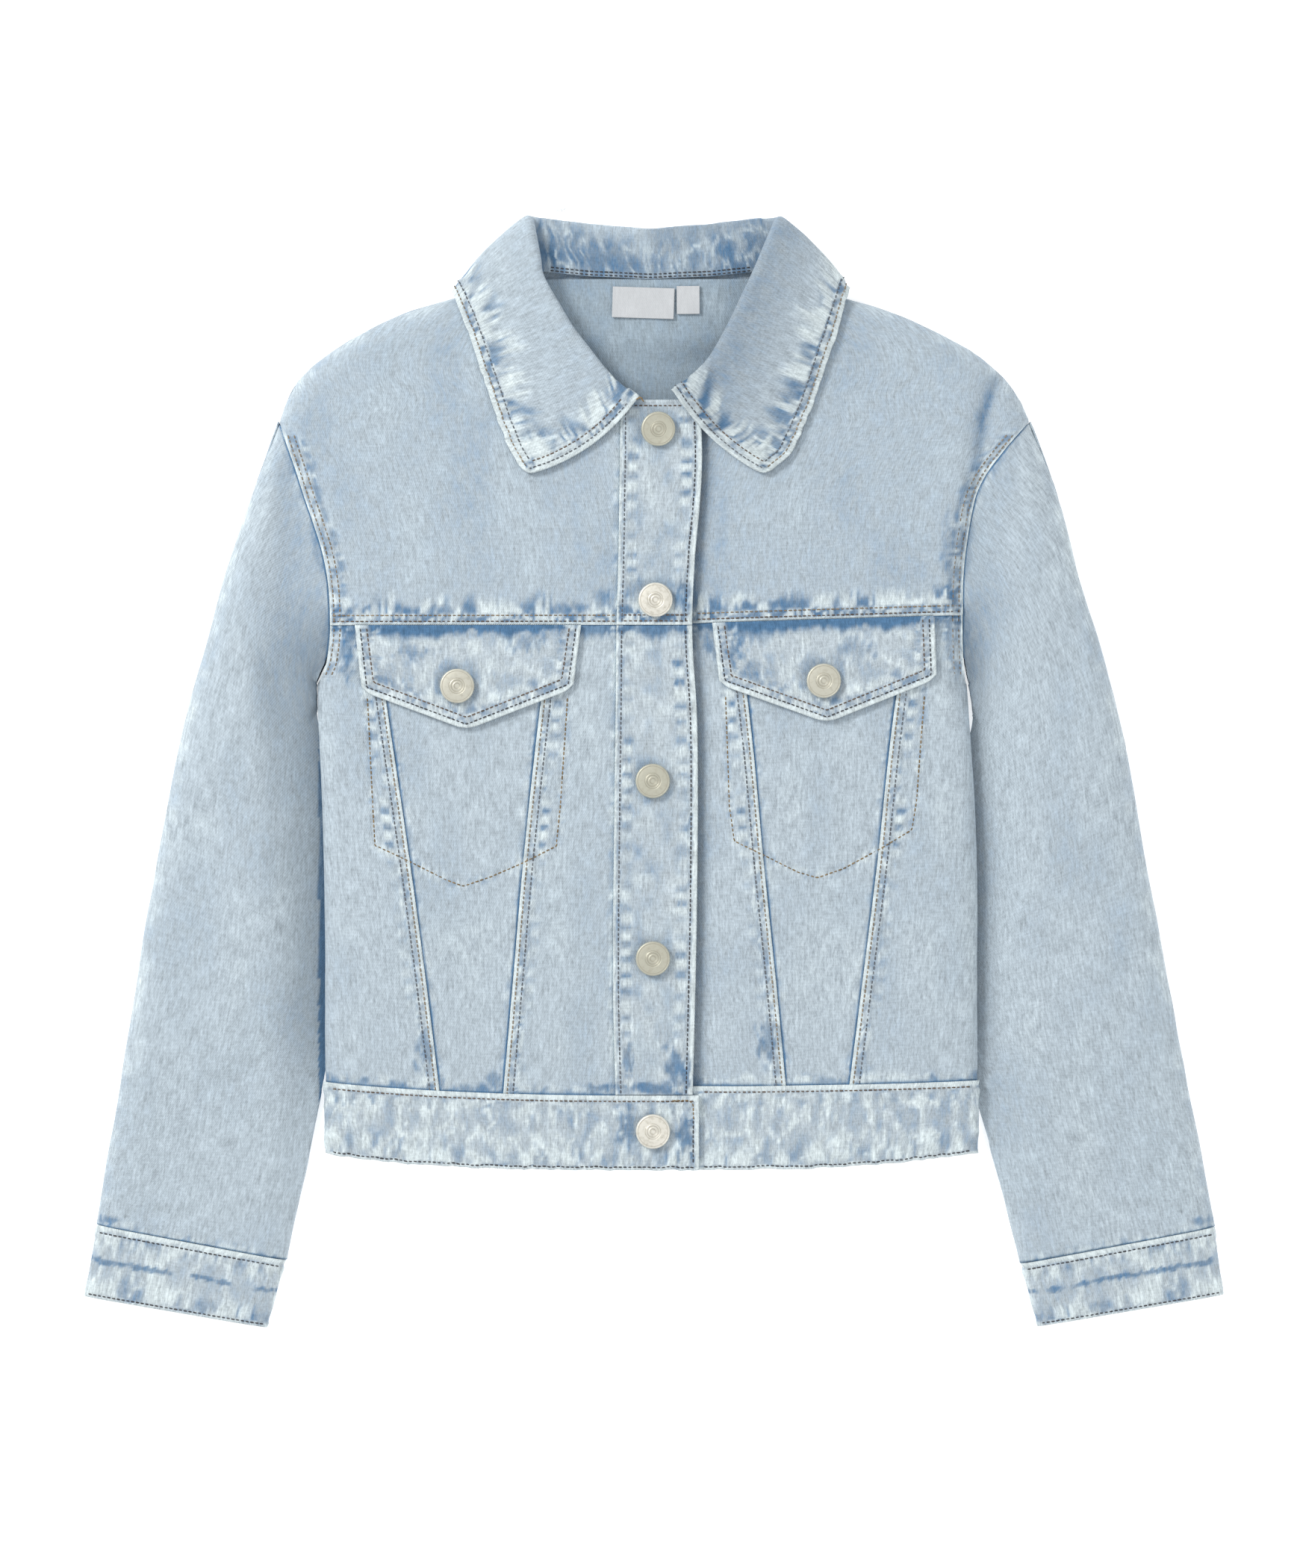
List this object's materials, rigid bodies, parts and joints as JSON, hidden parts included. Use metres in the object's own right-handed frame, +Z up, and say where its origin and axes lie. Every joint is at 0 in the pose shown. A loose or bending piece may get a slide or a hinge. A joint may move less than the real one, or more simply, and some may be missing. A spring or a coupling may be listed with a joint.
{
  "type": "denim jacket",
  "caption": "Child's cropped denim jacket with point collar, flap pockets and buttoned front, laid flat on its back.",
  "frame": {"origin": "middle of the laid jacket's footprint, on the surface it lies on", "axes": "+X towards the wearer's left (right in a view from above), +Y from the hem to the collar, +Z up from the surface"},
  "size_m": [0.578, 0.5642, 0.02],
  "materials": {
    "denim": "stone-washed light blue twill, pale at the ridges and deeper blue in the puckers",
    "denim_doubled": "the same denim turned double, with nearly white worn edges",
    "denim_plain": "the same denim away from the worn seams",
    "label": "bare off-white woven satin",
    "button_metal": "antique nickel, softly matte, with a ring in relief"
  },
  "bodies": {
    "root": {"back_panel": "denim_plain", "button_flap_left": "button_metal", "button_flap_right": "button_metal", "button_front_1": "button_metal", "button_front_2": "button_metal", "button_front_3": "button_metal", "button_front_4": "button_metal", "button_front_5": "button_metal", "collar": "denim", "cuff_left": "denim_doubled", "cuff_right": "denim_doubled", "front_centre_left": "denim", "front_centre_right": "denim", "front_middle_left": "denim", "front_middle_right": "denim", "front_side_left": "denim", "front_side_right": "denim", "front_yoke_left": "denim", "front_yoke_right": "denim", "label_main": "label", "label_size": "label", "placket_lower": "denim_doubled", "placket_under": "denim_doubled", "placket_upper": "denim_doubled", "pocket_bag_left": "denim_plain", "pocket_bag_right": "denim_plain", "pocket_flap_left": "denim_doubled", "pocket_flap_right": "denim_doubled", "sleeve_top_left": "denim", "sleeve_top_right": "denim", "sleeve_under_left": "denim_plain", "sleeve_under_right": "denim_plain", "waistband_back": "denim_doubled", "waistband_front_left": "denim_doubled", "waistband_front_right": "denim_doubled"}
  },
  "joints": []
}
